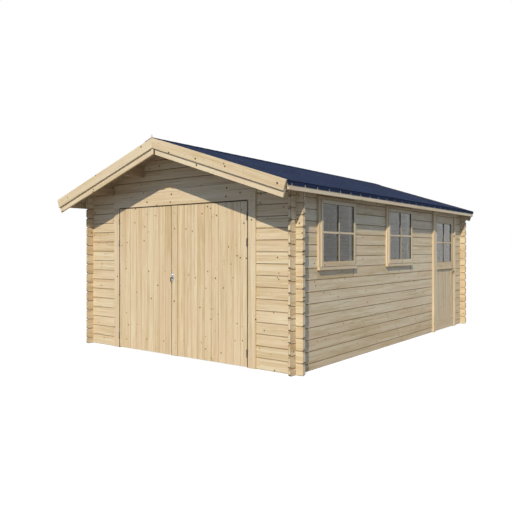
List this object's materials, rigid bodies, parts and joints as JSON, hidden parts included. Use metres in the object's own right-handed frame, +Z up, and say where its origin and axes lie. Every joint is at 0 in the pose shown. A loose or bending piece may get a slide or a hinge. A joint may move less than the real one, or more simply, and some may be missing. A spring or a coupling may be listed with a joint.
{
  "type": "wooden garage",
  "caption": "Log-built timber garage with a gable roof and deep front overhang, double front doors, glazed side door and side windows.",
  "frame": {"origin": "on the ground, at the middle of the outermost width and length", "axes": "+Z up; X across the front, +X on the side with the windows and the side door; the front doors face -Y"},
  "size_m": [4.01, 6.165, 2.792],
  "materials": {
    "logs": "bare planed spruce logs",
    "trim": "bare planed spruce",
    "door_boards": "bare planed spruce boards",
    "roof_timber": "bare sawn spruce",
    "roofing": "mineral-faced bitumen shingles, navy blue",
    "ironwork": "dark coated steel",
    "glass": "clear"
  },
  "bodies": {
    "garage": {"front_wall_left": "logs", "front_wall_right": "logs", "front_gable": "logs", "left_wall": "logs", "rear_wall": "logs", "right_wall_lower": "logs", "right_wall_piers": "logs", "right_wall_corner": "logs", "right_wall_upper": "logs", "door_jamb_left": "trim", "door_jamb_right": "trim", "door_header": "trim", "side_jamb_front": "trim", "side_jamb_rear": "trim", "side_header": "trim", "window_casings": "trim", "window_sashes": "trim", "window_panes": "glass", "ridge_purlin": "roof_timber", "purlins_left": "roof_timber", "purlins_right": "roof_timber", "roof_boards_left": "roof_timber", "roof_boards_right": "roof_timber", "roof_cover_left": "roofing", "roof_cover_right": "roofing", "ridge_cap": "roofing", "verge_front_upper": "trim", "verge_front_lower": "trim", "verge_rear_upper": "trim", "verge_rear_lower": "trim", "verge_joint_strip": "trim", "eave_boards": "trim", "left_jamb_hinges": "ironwork", "right_jamb_hinges": "ironwork", "side_jamb_hinges": "ironwork"},
    "garage_door_left": {"left_leaf": "door_boards", "left_leaf_hinges": "ironwork"},
    "garage_door_right": {"right_leaf": "door_boards", "right_leaf_hinges": "ironwork", "meeting_strip": "door_boards", "door_handle": "ironwork"},
    "side_door": {"side_leaf": "door_boards", "side_leaf_pane": "glass", "side_leaf_hinges": "ironwork", "side_handle": "ironwork"}
  },
  "joints": [
    {"name": "garage_door_left_hinge", "type": "hinge", "parent": "garage", "child": "garage_door_left", "pos_m": [-1.1475, -2.6535, 0], "axis": [0, 0, -1], "range_deg": [0, 160]},
    {"name": "garage_door_right_hinge", "type": "hinge", "parent": "garage", "child": "garage_door_right", "pos_m": [1.1475, -2.6535, 0], "axis": [0, 0, 1], "range_deg": [0, 160]},
    {"name": "side_door_hinge", "type": "hinge", "parent": "garage", "child": "side_door", "pos_m": [1.838, 1.53, 0], "axis": [0, 0, -1], "range_deg": [0, 95]}
  ]
}
